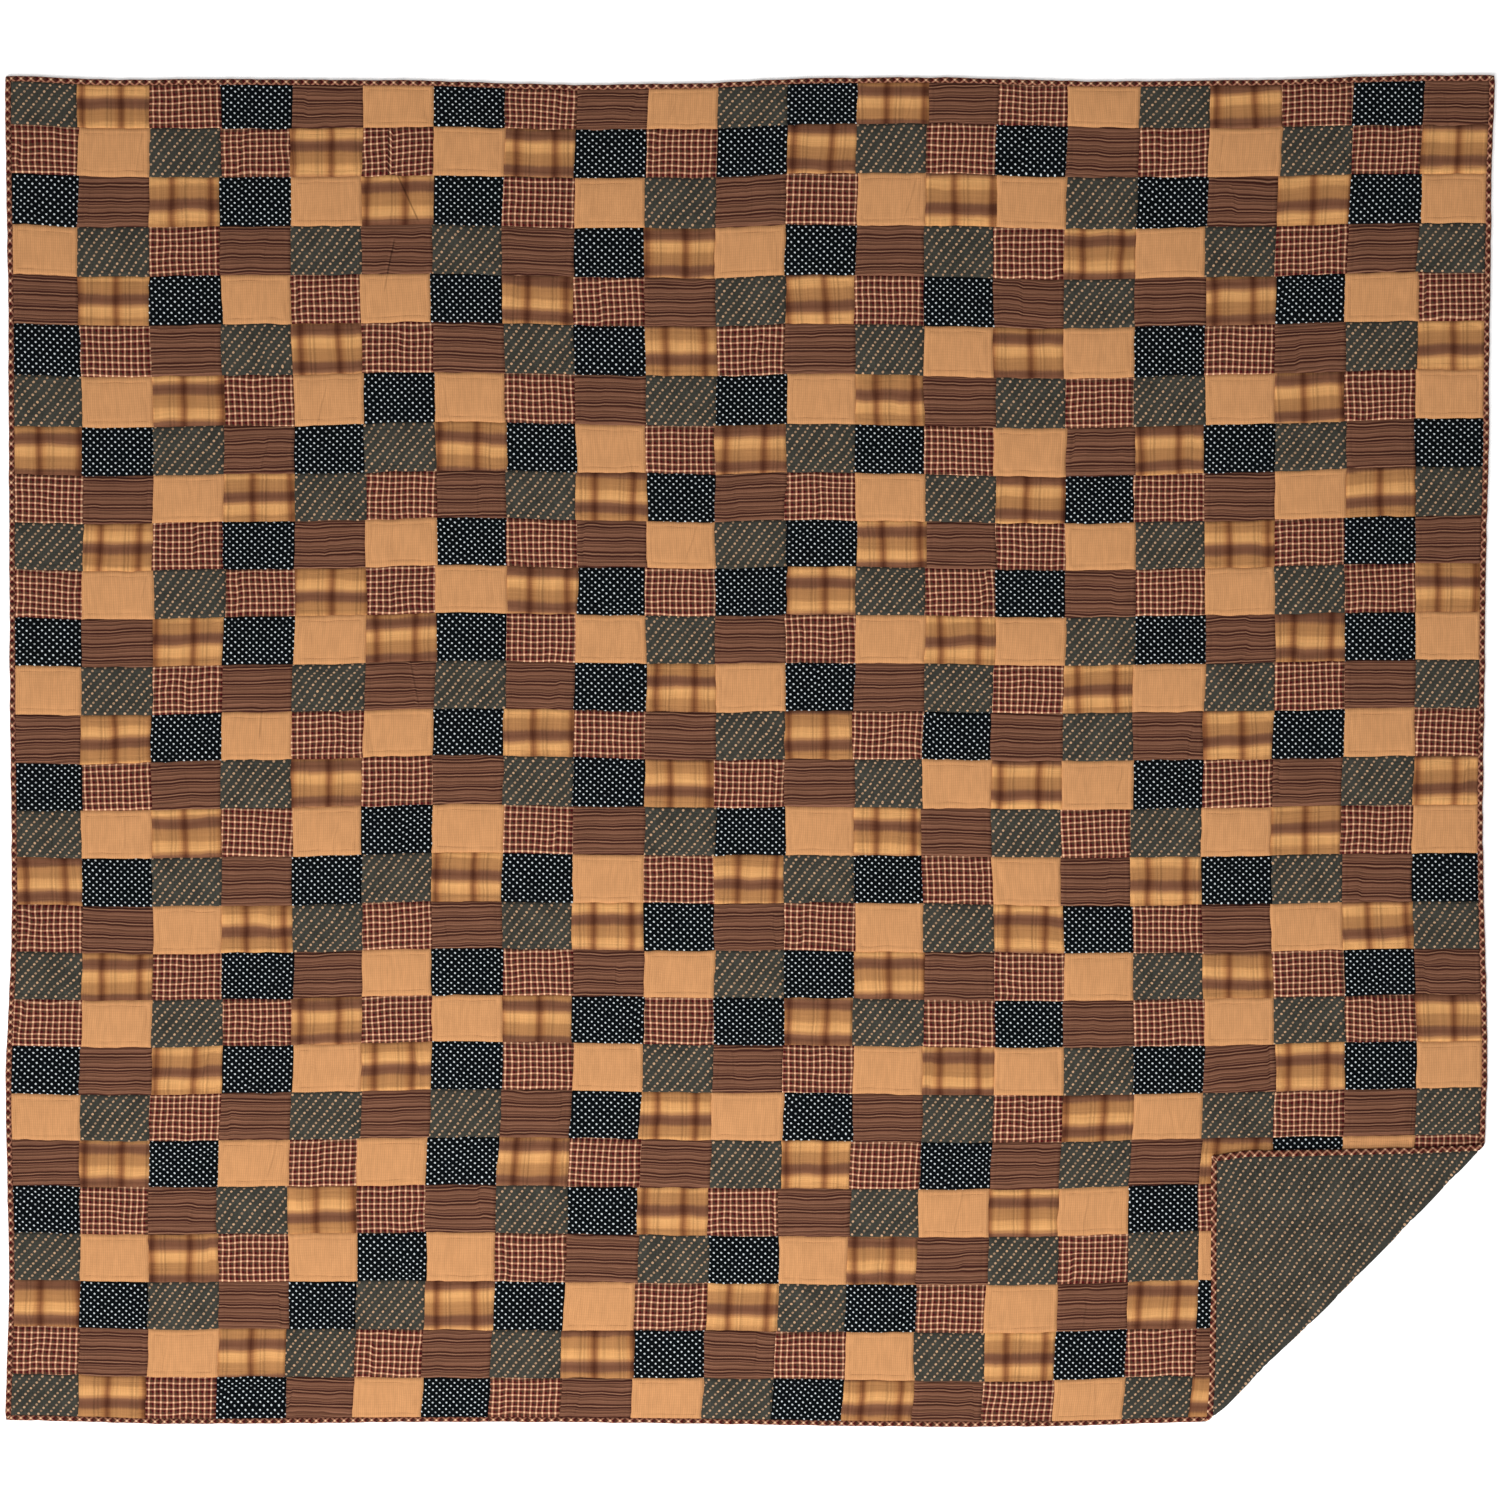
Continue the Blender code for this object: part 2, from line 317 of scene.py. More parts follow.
def rolled(x, y, height):
    """Laid points after the corner is turned back, as an array of places over the floor."""
    across_x, across_y = math.cos(FOLD_ANGLE), math.sin(FOLD_ANGLE)
    across = x * across_x + y * across_y
    along = y * across_x - x * across_y
    past = across - ROLL_START
    turn = np.clip(past / FOLD_RADIUS, 0, math.pi)
    returned = np.maximum(past - math.pi * FOLD_RADIUS, 0)
    new_across = ROLL_START + np.minimum(past, 0) - returned
    new_across += np.sin(turn) * (FOLD_RADIUS - height)
    up = FOLD_RADIUS * (1 - np.cos(turn)) + np.cos(turn) * height
    lying = eased_step(returned / FLAP_SAG_WITHIN)
    up -= lying * (FLAP_SAG + FLAP_WAVE * noise(across, along, 0.09, 11))
    near_fold = np.exp(-(((new_across - FOLD_EDGE) / FOLD_DRAW_REACH) ** 2))
    new_across -= eased(along, FOLD_DRAWN_IN) * near_fold
    return np.stack(
        [
            new_across * across_x - along * across_y,
            new_across * across_y + along * across_x,
            up + HALF_THICKNESS,
        ],
        axis=-1,
    )


def seams(size, count):
    """Where the seams lie on the cut rectangle one way, and where the binding's edges do."""
    lines = np.arange(count + 1) * size / count - size / 2
    lines[0] += BINDING_WIDTH
    lines[-1] -= BINDING_WIDTH
    return lines


SEAMS_X = seams(WIDTH, COLUMNS)
SEAMS_Y = seams(LENGTH, ROWS)


def middle_shift():
    """What the CAD's box was moved by, from the binding's left and lower edges."""
    rim_x = WIDTH / 2 - CAD_RIM
    rim_y = LENGTH / 2 - CAD_RIM
    stations_x = np.concatenate([[-WIDTH / 2, -rim_x], SEAMS_X[1:-1]])
    stations_y = np.concatenate([[-LENGTH / 2, -rim_y], SEAMS_Y[1:-1], [rim_y, LENGTH / 2]])
    left = laid(np.full(len(stations_y), -WIDTH / 2), stations_y)[0].min()
    bottom = laid(stations_x, np.full(len(stations_x), -LENGTH / 2))[1]
    across = stations_x * math.cos(FOLD_ANGLE) + bottom * math.sin(FOLD_ANGLE)
    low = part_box("binding")[0]
    return low.x - left, low.y - bottom[across < ROLL_START].min()


SHIFT = middle_shift()


# ---------------------------------------------------------------- relief


def crease_through(x, y):
    """The listed crease that runs furthest through these places, or None.

    With it come each place's distance to the crease's right, and how far the cloth is creased
    there, from 0 to 1.
    """
    best = (None, np.ones_like(x), np.zeros_like(x))
    most = 1.0
    for crease in CREASES:
        run_x, run_y = crease.x1 - crease.x0, crease.y1 - crease.y0
        length = math.hypot(run_x, run_y)
        share = ((x - crease.x0) * run_x + (y - crease.y0) * run_y) / length**2
        side = ((y - crease.y0) * run_x - (x - crease.x0) * run_y) / length
        beyond = np.maximum(abs(share - 0.5) - 0.5, 0) * length
        creased = np.clip(1 - beyond / CREASE_END, 0, 1)
        inside = creased[abs(side) < CREASE_NEAR].sum()
        if side.min() < 0 < side.max() and inside > most:
            best = (crease, side, creased)
            most = inside
    return best


def ruffled(x, y):
    """Places on the cut rectangle, pushed about a little as the stitches draw the cloth up."""
    rim = np.minimum(WIDTH / 2 - abs(x), LENGTH / 2 - abs(y)) - BINDING_WIDTH
    held = RUFFLE * np.clip(rim / RUFFLE_RIM, 0, 1)
    return (
        x + held * (noise(x, y, RUFFLE_SIZE, 35) + 0.6 * noise(x, y, FINE_RUFFLE_SIZE, 36)),
        y + held * (noise(x, y, RUFFLE_SIZE, 37) + 0.6 * noise(x, y, FINE_RUFFLE_SIZE, 38)),
    )


def wobbled(x, y):
    """How far the stitches stray from straight at these places, each way."""
    return WOBBLE * noise(x, y, WOBBLE_SIZE, 31), WOBBLE * noise(x, y, WOBBLE_SIZE, 32)


def warped(x, y, warp, seed):
    """How far the pattern is pulled aside at these places."""
    broad = warp.broad * noise(x, y, warp.broad_size, seed)
    return broad + warp.fine * noise(x, y, warp.fine_size, seed + 1)


def quilted(edge, x, y, seam_depth, seed):
    """Height over the layer's own level, at places that lie edge in from their patch's seams."""
    from_line = np.abs(edge - QUILT_INSET)
    height = PUFF * (1 - np.exp(-edge / PUFF_REACH))
    height -= (seam_depth + PUFF) * np.exp(-((edge / SEAM_TROUGH) ** 2))
    height -= QUILT_DEPTH * np.exp(-((from_line / QUILT_TROUGH) ** 2))
    near = np.exp(-from_line / PUCKER_REACH)
    height += PUCKER * near * noise(x, y, PUCKER_SIZE, seed)
    height += PUCKER * 0.5 * noise(x, y, BROAD_PUCKER_SIZE, seed + 1)
    height += SWELL * noise(x, y, SWELL_SIZE, seed + 2)
    return height


# ---------------------------------------------------------------- meshes


def lines_across(size, lines):
    """The mesh lines of one patch, from its middle, closer together beside its edges."""
    half = size / 2
    near = [line for line in lines if line < half - 0.004]
    return np.array([line - half for line in near] + [0.0] + [half - line for line in near[::-1]])


def quads(columns, rows, start=0):
    """The faces of a grid whose points are numbered up each column in turn."""
    column, row = np.meshgrid(np.arange(columns - 1), np.arange(rows - 1), indexing="ij")
    corner = (start + column * rows + row).ravel()
    return np.stack([corner, corner + rows, corner + rows + 1, corner + 1], axis=1)


def new_mesh(name, points, faces, maps, slots=None):
    """A mesh with UV maps given at its points or, where there are more values, at its loops."""
    mesh = bpy.data.meshes.new(name)
    mesh.vertices.add(len(points))
    mesh.vertices.foreach_set("co", points.astype(np.float32).ravel())
    mesh.loops.add(faces.size)
    mesh.loops.foreach_set("vertex_index", faces.astype(np.int32).ravel())
    mesh.polygons.add(len(faces))
    mesh.polygons.foreach_set("loop_start", np.arange(len(faces), dtype=np.int32) * 4)
    if slots is not None:
        mesh.polygons.foreach_set("material_index", slots.astype(np.int32))
    mesh.update(calc_edges=True)
    for map_name, values in maps.items():
        layer = mesh.uv_layers.new(name=map_name)
        at_loops = values[faces.ravel()] if len(values) == len(points) else values
        layer.data.foreach_set("uv", at_loops.astype(np.float32).ravel())
    return mesh


def cut_at_roll(mesh):
    """Cuts a laid mesh along lines beside the fold, so that it can turn over smoothly."""
    work = bmesh.new()
    work.from_mesh(mesh)
    across = Vector((math.cos(FOLD_ANGLE), math.sin(FOLD_ANGLE), 0))
    for step in range(ROLL_CUTS + 1):
        past = math.pi * FOLD_RADIUS * step / ROLL_CUTS
        bmesh.ops.bisect_plane(
            work,
            geom=work.verts[:] + work.edges[:] + work.faces[:],
            plane_co=across * (ROLL_START + past),
            plane_no=across,
            dist=1e-6,
        )
    work.to_mesh(mesh)
    work.free()


def finish_piece(name, mesh, materials, node):
    """Rolls the laid mesh over the fold and makes it a piece that rides on the quilt."""
    points = np.empty(len(mesh.vertices) * 3, np.float32)
    mesh.vertices.foreach_get("co", points)
    x, y, height = points.reshape(-1, 3).astype(float).T
    if (x * math.cos(FOLD_ANGLE) + y * math.sin(FOLD_ANGLE)).max() > ROLL_START:
        cut_at_roll(mesh)
        points = np.empty(len(mesh.vertices) * 3, np.float32)
        mesh.vertices.foreach_get("co", points)
        x, y, height = points.reshape(-1, 3).astype(float).T
    placed = rolled(x, y, height)
    placed[:, 0] += SHIFT[0]
    placed[:, 1] += SHIFT[1]
    mesh.vertices.foreach_set("co", placed.astype(np.float32).ravel())
    mesh.update()
    mesh.shade_smooth()
    for material in materials:
        mesh.materials.append(material)
    piece = bpy.data.objects.new(name, mesh)
    bpy.context.scene.collection.objects.link(piece)
    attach(piece, "root")
    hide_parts(node)
    return piece


# ---------------------------------------------------------------- patchwork


def seam_corners():
    """Where each row's upright seams meet the seams below and above that row."""
    random = np.random.default_rng(5)
    jog = random.normal(0, SEAM_JOG, (ROWS, COLUMNS + 1)).clip(-2 * SEAM_JOG, 2 * SEAM_JOG)
    lean = random.normal(0, SEAM_LEAN, (ROWS, COLUMNS + 1))
    for shift in (jog, lean):
        shift[:, 0] = 0
        shift[:, -1] = 0
    return SEAMS_X + jog - lean, SEAMS_X + jog + lean


SEAM_LOW, SEAM_HIGH = seam_corners()


def row_seam(seam, x):
    """The height on the cut rectangle of a row's seam, counted from the top, at each x."""
    level = SEAMS_Y[ROWS - seam]
    if seam in (0, ROWS):
        return np.full_like(x, level)
    return level + ROW_WAVE * noise(x, np.full_like(x, seam * 1.0), 0.17, 21)


def patch(column, row):
    """One patch: its laid points, and its cloth, patch and bake maps at those points."""
    random = np.random.default_rng(1000 + row * COLUMNS + column)
    lines_a = lines_across(PATCH_WIDTH, FINE_LINES)
    lines_b = lines_across(PATCH_LENGTH, FINE_LINES)
    a, b = (grid.ravel() for grid in np.meshgrid(lines_a, lines_b, indexing="ij"))
    across = a / PATCH_WIDTH + 0.5
    along = b / PATCH_LENGTH + 0.5
    low_x = SEAM_LOW[row, column] * (1 - across) + SEAM_LOW[row, column + 1] * across
    high_x = SEAM_HIGH[row, column] * (1 - across) + SEAM_HIGH[row, column + 1] * across
    x = low_x * (1 - along) + high_x * along
    y = row_seam(row + 1, x) * (1 - along) + row_seam(row, x) * along

    x, y = ruffled(x, y)
    wobble_a, wobble_b = wobbled(x, y)
    from_edge = np.minimum(PATCH_WIDTH / 2 - abs(a), PATCH_LENGTH / 2 - abs(b))
    inside = np.clip(from_edge / WOBBLE_RIM, 0, 1)
    stitched_a = a + wobble_a * inside
    stitched_b = b + wobble_b * inside
    edge = np.minimum(PATCH_WIDTH / 2 - abs(stitched_a), PATCH_LENGTH / 2 - abs(stitched_b))
    height = HALF_THICKNESS + quilted(edge, x, y, SEAM_DEPTH, 41)

    crease, side, creased = crease_through(x, y)
    slip = np.zeros_like(a)
    if crease:
        slip = crease.slip * creased * np.sign(side) * np.exp(-abs(side) / SLIP_REACH)
        height -= CREASE_DEPTH * creased * np.exp(-((side / CREASE_WIDTH) ** 2))
        # The crease map carries the strength of the crease's painted shadow and painted highlight.
        creased = creased * crease.strength
    elif random.random() < TUCK_SHARE:
        place = random.uniform(-TUCK_OFF_MIDDLE, TUCK_OFF_MIDDLE) * PATCH_WIDTH
        place = place + random.normal(0, TUCK_LEAN) * b
        place += TUCK_BEND * noise(y, x, TUCK_BEND_SIZE, 51)
        reach = random.uniform(0.45, 1.0)
        side = a - place
        creased = eased_step((reach - abs(along - random.uniform(0.3, 0.7)) * 2) * 3 + 0.5)
        height -= TUCK_DEPTH * creased * np.exp(-((side / TUCK_WIDTH) ** 2))
        slip = creased * random.uniform(-1, 1) * TUCK_SLIP * eased_step(side / TUCK_WIDTH + 0.5)
        # A tuck gets a faint painted shadow and painted highlight through the crease map.
        creased = creased * random.uniform(0.03, 0.24)

    angle = random.normal(0, OFF_GRAIN) + (math.pi if random.random() < 0.5 else 0)
    cloth_a = x - SEAMS_X[column] + warped(x, y, PATCH_WARP_ACROSS, 61)
    cloth_b = y - SEAMS_Y[ROWS - row] + (warped(x, y, PATCH_WARP_ALONG, 63) + slip)
    phase = random.uniform(0, 3, 2)
    cloth = np.stack(
        [
            cloth_a * math.cos(angle) - cloth_b * math.sin(angle) + phase[0],
            cloth_a * math.sin(angle) + cloth_b * math.cos(angle) + phase[1],
        ],
        axis=1,
    )
    bake_column, bake_row = row % 4, row // 4
    margin = 0.006
    bake = np.stack(
        [
            (bake_column + margin + across * (1 - 2 * margin)) / 4,
            (bake_row + margin + along * (1 - 2 * margin)) / 7,
        ],
        axis=1,
    )
    points = np.stack([*laid(x, y), height], axis=1)
    maps = {
        "cloth": cloth,
        "patch": np.stack([stitched_a, stitched_b], axis=1),
        "crease": np.stack([side, creased], axis=1),
        "OFBake": bake,
    }
    return points, maps


def add_column(column, fabrics):
    """One column of patches, each its own island of mesh, meeting the next at the seam."""
    columns = len(lines_across(PATCH_WIDTH, FINE_LINES))
    rows = len(lines_across(PATCH_LENGTH, FINE_LINES))
    made = [patch(column, row) for row in range(ROWS)]
    faces = np.concatenate([quads(columns, rows, row * columns * rows) for row in range(ROWS)])
    letters = [CHART[row % len(CHART)][column % len(CHART[0])] for row in range(ROWS)]
    slots = np.repeat([FABRICS.index(letter) for letter in letters], (columns - 1) * (rows - 1))
    maps = {
        name: np.concatenate([maps[name] for _, maps in made])
        for name in ("cloth", "patch", "crease", "OFBake")
    }
    name = f"patch_column_{column + 1:02d}"
    mesh = new_mesh(name, np.concatenate([points for points, _ in made]), faces, maps, slots)
    piece = finish_piece(name, mesh, fabrics, "patchwork_top")
    return piece


# ---------------------------------------------------------------- backing


def backing_lines(seam_lines, length, fine_from):
    """The backing's mesh lines one way: patch by patch, finer in the turned corner."""
    lines = []
    for patch_number in range(len(seam_lines) - 1):
        local = lines_across(length, FINE_LINES if fine_from(patch_number) else COARSE_LINES)
        low, high = seam_lines[patch_number], seam_lines[patch_number + 1]
        lines.append(low + (high - low) * (local[:-1] / length + 0.5))
    return np.concatenate([*lines, [seam_lines[-1]]])


def into_patch(places, seam_lines, length):
    """How far each place is into its patch, in metres of a whole patch."""
    return np.interp(places, seam_lines, np.arange(len(seam_lines))) % 1 * length


def add_backing(material):
    inner_width = SEAMS_X[-1] - SEAMS_X[0]
    inner_length = SEAMS_Y[-1] - SEAMS_Y[0]
    lines_x = backing_lines(SEAMS_X, PATCH_WIDTH, lambda n: n >= COLUMNS - FINE_COLUMNS)
    lines_y = backing_lines(SEAMS_Y, PATCH_LENGTH, lambda n: n < FINE_ROWS)
    x, y = (grid.ravel() for grid in np.meshgrid(lines_x, lines_y, indexing="ij"))
    a = into_patch(x, SEAMS_X, PATCH_WIDTH)
    b = into_patch(y, SEAMS_Y, PATCH_LENGTH)
    x, y = ruffled(x, y)
    wobble_a, wobble_b = wobbled(x, y)
    a += wobble_a
    b += wobble_b
    edge = np.minimum(
        np.minimum(abs(a), abs(PATCH_WIDTH - a)), np.minimum(abs(b), abs(PATCH_LENGTH - b))
    )
    relief = quilted(edge, x, y, 0.0, 71)
    laid_x, laid_y = laid(x, y)
    past = laid_x * math.cos(FOLD_ANGLE) + laid_y * math.sin(FOLD_ANGLE) - ROLL_START
    lifted = eased_step(past / 0.02)
    rim = np.minimum(inner_width / 2 - abs(x), inner_length / 2 - abs(y))
    rim_rise = 0.0012 * np.exp(-((rim / 0.003) ** 2))
    on_floor = np.minimum(relief - PUFF, 0)
    height = -HALF_THICKNESS - (on_floor * (1 - lifted) + relief * lifted) + rim_rise

    faces = quads(len(lines_x), len(lines_y))
    warp_x = warped(x, y, BACKING_WARP, 65)
    warp_y = warped(x, y, BACKING_WARP, 67)
    cloth = np.stack([-(y + warp_y), -(x + warp_x)], axis=1)
    points = np.stack([laid_x, laid_y, height], axis=1)
    loops = faces.ravel()
    face_past = np.repeat(past[faces].mean(axis=1), 4)
    # The turned corner, which is seen, gets most of the room in the baked picture.
    small = np.stack([x / 8 + 0.17, y / 8 + 0.84], axis=1)[loops]
    corner_x = (x - (inner_width / 2 - 0.62)) / 0.64
    corner_y = (y + inner_length / 2 + 0.01) / 0.64
    large = np.stack([0.34 + 0.65 * corner_x, 0.01 + 0.65 * corner_y], axis=1)[loops]
    bake = np.where((face_past > -0.02)[:, None], large, small)
    maps = {
        "cloth": cloth,
        "patch": np.stack([a - PATCH_WIDTH / 2, b - PATCH_LENGTH / 2], axis=1),
        "OFBake": bake,
    }
    mesh = new_mesh("quilt_backing", points, faces[:, ::-1], maps_reversed(maps, len(points)))
    piece = finish_piece("quilt_backing", mesh, [material], "backing")
    return piece


def maps_reversed(maps, count):
    """Loop maps in the order of faces that are listed the other way round."""
    return {
        name: values if len(values) == count else values.reshape(-1, 4, 2)[:, ::-1].reshape(-1, 2)
        for name, values in maps.items()
    }


# ---------------------------------------------------------------- binding


# The binding's outline in section: distance in from the edge, and height.
Rib = namedtuple("Rib", "inwards height")
BINDING_RIBS = (
    Rib(0.0101, 0.0006),
    Rib(0.0095, 0.0018),
    Rib(0.0085, 0.0027),
    Rib(0.0068, 0.0032),
    Rib(0.0040, 0.0032),
    Rib(0.0018, 0.0026),
    Rib(0.0004, 0.0014),
    Rib(0.0000, 0.0000),
    Rib(0.0004, -0.0014),
    Rib(0.0018, -0.0025),
    Rib(0.0040, -0.0030),
    Rib(0.0072, -0.0030),
    Rib(0.0090, -0.0026),
    Rib(0.0099, -0.0016),
)
BINDING_STEP = 0.0065
FACE_MIDDLE = 0.0066
BIAS_STRETCH = 1.08
BINDING_ISLANDS = 8
CORNER_RADIUS = 0.0035


def binding_path(start, corner, end):
    """Edge places along two sides that meet at a corner, with the inner line beside them."""
    inner_depth = BINDING_RIBS[0].inwards
    outer, inner = [], []
    ends = [np.array(start, float), np.array(corner, float), np.array(end, float)]
    towards = [ends[1] - ends[0], ends[2] - ends[1]]
    towards = [run / np.linalg.norm(run) for run in towards]
    inward = [np.array((-run[1], run[0])) for run in towards]
    for side, run in enumerate(towards):
        first, last = ends[side], ends[side + 1]
        length = np.linalg.norm(last - first)
        trim_first = CORNER_RADIUS if side == 1 else inner_depth
        trim_last = CORNER_RADIUS if side == 0 else inner_depth
        count = int((length - trim_first - trim_last) / BINDING_STEP)
        for place in np.linspace(trim_first, length - trim_last, count):
            outer.append(first + run * place)
            held = np.clip(place, inner_depth, length - inner_depth)
            inner.append(first + run * held + inward[side] * inner_depth)
        if side == 0:
            middle = last - run * CORNER_RADIUS + inward[0] * CORNER_RADIUS
            for turn in (0.25, 0.5, 0.75):
                angle = turn * math.pi / 2
                reach = run * math.sin(angle) - inward[0] * math.cos(angle)
                outer.append(middle + CORNER_RADIUS * reach)
                inner.append(last - run * inner_depth + inward[0] * inner_depth)
    outer = [mitre_end(ends[0], towards[0], 1)] + outer + [mitre_end(ends[2], towards[1], -1)]
    inner = (
        [ends[0] + (towards[0] + inward[0]) * inner_depth]
        + inner
        + [ends[2] + (inward[1] - towards[1]) * inner_depth]
    )
    return np.array(outer), np.array(inner)


def mitre_end(corner, run, sign):
    """The edge place at the end of a strip that meets another at the middle of a corner."""
    inward = np.array((-run[1], run[0]))
    middle = corner + (run * sign + inward) * CORNER_RADIUS
    return middle - (run * sign + inward) * CORNER_RADIUS / math.sqrt(2)


def add_binding(name, start, corner, end, material, seed):
    outer, inner = binding_path(start, corner, end)
    inner_depth = BINDING_RIBS[0].inwards
    steps = np.linalg.norm(np.diff(outer, axis=0), axis=1)
    run = np.concatenate([[0], np.cumsum(steps)])
    ribs = np.array(BINDING_RIBS)
    girth = np.concatenate([[0], np.cumsum(np.hypot(*np.diff(ribs, axis=0).T))])
    share = ribs[:, 0] / inner_depth
    flat = outer[:, None, :] * (1 - share[:, None]) + inner[:, None, :] * share[:, None]
    x, y = flat[..., 0].ravel(), flat[..., 1].ravel()
    at = np.repeat(run, len(ribs))
    height = np.tile(ribs[:, 1], len(run))
    pucker = noise(at, np.tile(girth, len(run)), 0.012, seed)
    height += 0.00030 * pucker * (height > -0.002)
    outwards = (outer - inner) / np.linalg.norm(outer - inner, axis=1)[:, None]
    sway = 0.0006 * noise(run, run * 0, 0.028, seed + 1)
    sway += 0.0004 * noise(run, run * 0, 0.011, seed + 2)
    fade = np.tile(1 - share, len(run))
    x += np.repeat(outwards[:, 0] * sway, len(ribs)) * fade
    y += np.repeat(outwards[:, 1] * sway, len(ribs)) * fade
    laid_x, laid_y = laid(x, y)
    points = np.stack([laid_x, laid_y, height], axis=1)

    faces = quads(len(run), len(ribs))[:, ::-1]
    around = np.tile(girth, len(run)) - FACE_MIDDLE + 0.0006 * noise(at, at * 0, 0.05, seed + 3)
    stretched = at / BIAS_STRETCH
    cloth = np.stack([stretched + around, stretched - around], axis=1) / math.sqrt(2)
    island_length = run[-1] / BINDING_ISLANDS
    island = np.minimum(at[faces].mean(axis=1) // island_length, BINDING_ISLANDS - 1)
    island = np.repeat(island, 4)
    loops = faces.ravel()
    bake = np.stack(
        [
            0.01 + 0.98 * (at[loops] - island * island_length) / island_length,
            (island + 0.04 + 0.92 * np.tile(girth, len(run))[loops] / girth[-1]) / BINDING_ISLANDS,
        ],
        axis=1,
    )
    maps = {"cloth": cloth, "OFBake": bake}
    mesh = new_mesh(name, points, faces, maps)
    piece = finish_piece(name, mesh, [material], "binding")
    return piece


# ---------------------------------------------------------------- shader nodes


class Graph:
    """A cloth's material, with short names for the nodes that its pattern is made of."""

    def __init__(self, name):
        self.material = bpy.data.materials.new(name)
        self.material.use_nodes = True
        self.tree = self.material.node_tree
        self.shader = self.tree.nodes["Principled BSDF"]

    def feed(self, socket, value):
        if isinstance(value, bpy.types.NodeSocket):
            self.tree.links.new(value, socket)
        else:
            socket.default_value = value

    def maths(self, operation, first, second=0.0, third=0.0):
        node = self.tree.nodes.new("ShaderNodeMath")
        node.operation = operation
        for socket, value in zip(node.inputs, (first, second, third)):
            self.feed(socket, value)
        return node.outputs[0]

    def add(self, first, second):
        return self.maths("ADD", first, second)

    def less(self, first, second):
        return self.maths("SUBTRACT", first, second)

    def times(self, first, second):
        return self.maths("MULTIPLY", first, second)

    def over(self, first, second):
        return self.maths("DIVIDE", first, second)

    def part(self, value):
        return self.maths("FRACT", value)

    def size_of(self, value):
        return self.maths("ABSOLUTE", value)

    def ease(self, value, low, high, low_to=0.0, high_to=1.0):
        node = self.tree.nodes.new("ShaderNodeMapRange")
        node.interpolation_type = "SMOOTHSTEP"
        for name, setting in zip(
            ("Value", "From Min", "From Max", "To Min", "To Max"),
            (value, low, high, low_to, high_to),
        ):
            self.feed(node.inputs[name], setting)
        return node.outputs["Result"]

    def mix(self, share, first, second, blend="MIX"):
        node = self.tree.nodes.new("ShaderNodeMix")
        node.data_type = "RGBA"
        node.blend_type = blend
        self.feed(node.inputs[0], share)
        self.feed(node.inputs[6], first)
        self.feed(node.inputs[7], second)
        return node.outputs[2]

    def dim(self, cloth, shade):
        """A colour times a shade."""
        return self.mix(1.0, cloth, self.at(shade, shade, shade), "MULTIPLY")

    def ramp(self, value, stops, interpolation="EASE"):
        node = self.tree.nodes.new("ShaderNodeValToRGB")
        node.color_ramp.interpolation = interpolation
        while len(node.color_ramp.elements) < len(stops):
            node.color_ramp.elements.new(1.0)
        for element, (place, colour) in zip(node.color_ramp.elements, stops):
            element.position = place
            element.color = colour
        self.feed(node.inputs[0], value)
        return node.outputs[0]

    def uv(self, name):
        """The two values of a UV map, in metres."""
        source = self.tree.nodes.new("ShaderNodeUVMap")
        source.uv_map = name
        split = self.tree.nodes.new("ShaderNodeSeparateXYZ")
        self.feed(split.inputs[0], source.outputs[0])
        return split.outputs[0], split.outputs[1]

    def at(self, x, y, z=0.0):
        node = self.tree.nodes.new("ShaderNodeCombineXYZ")
        for socket, value in zip(node.inputs, (x, y, z)):
            self.feed(socket, value)
        return node.outputs[0]

    def chance(self, x, y, z=0.0):
        """A random value from 0 to 1 for each whole-numbered place."""
        node = self.tree.nodes.new("ShaderNodeTexWhiteNoise")
        node.noise_dimensions = "3D"
        self.feed(node.inputs["Vector"], self.at(x, y, z))
        return node.outputs["Value"]

    def cloud(self, x, y, detail=2.0):
        """Soft noise from 0 to 1 with blots about one unit wide."""
        node = self.tree.nodes.new("ShaderNodeTexNoise")
        self.feed(node.inputs["Vector"], self.at(x, y))
        node.inputs["Scale"].default_value = 1.0
        node.inputs["Detail"].default_value = detail
        return node.outputs["Fac"]

    def finish(self, colour, height, distance):
        """Sets the cloth's colour, its sheen and the fine relief of its threads."""
        self.feed(self.shader.inputs["Base Color"], colour)
        self.shader.inputs["Roughness"].default_value = 0.92
        self.shader.inputs["Specular IOR Level"].default_value = 0.05
        self.shader.inputs["Sheen Weight"].default_value = 0.008
        self.shader.inputs["Sheen Roughness"].default_value = 0.5
        bump = self.tree.nodes.new("ShaderNodeBump")
        bump.inputs["Strength"].default_value = 1.0
        bump.inputs["Distance"].default_value = distance
        self.feed(bump.inputs["Height"], height)
        self.feed(self.shader.inputs["Normal"], bump.outputs[0])
        return self.material


def colour(red, green, blue):
    """An sRGB colour of 0 to 255 as the linear colour that a shader takes."""
    linear = []
    for value in (red, green, blue):
        share = value / 255
        linear.append(share / 12.92 if share <= 0.04045 else ((share + 0.055) / 1.055) ** 2.4)
    return (*linear, 1.0)


THREAD = 0.0011


def threads(graph, u, v):
    """A plain weave with slubs: heights from 0 to 1."""
    over_one = graph.maths("SINE", graph.times(u, 2 * math.pi / THREAD))
    under_one = graph.maths("SINE", graph.times(v, 2 * math.pi / THREAD))
    weave = graph.add(graph.times(graph.times(over_one, under_one), 0.25), 0.5)
    slub_up = graph.cloud(graph.times(u, 900), graph.times(v, 60))
    slub_across = graph.cloud(graph.times(u, 60), graph.times(v, 900))
    return graph.add(weave, graph.times(graph.add(slub_up, slub_across), 0.5))


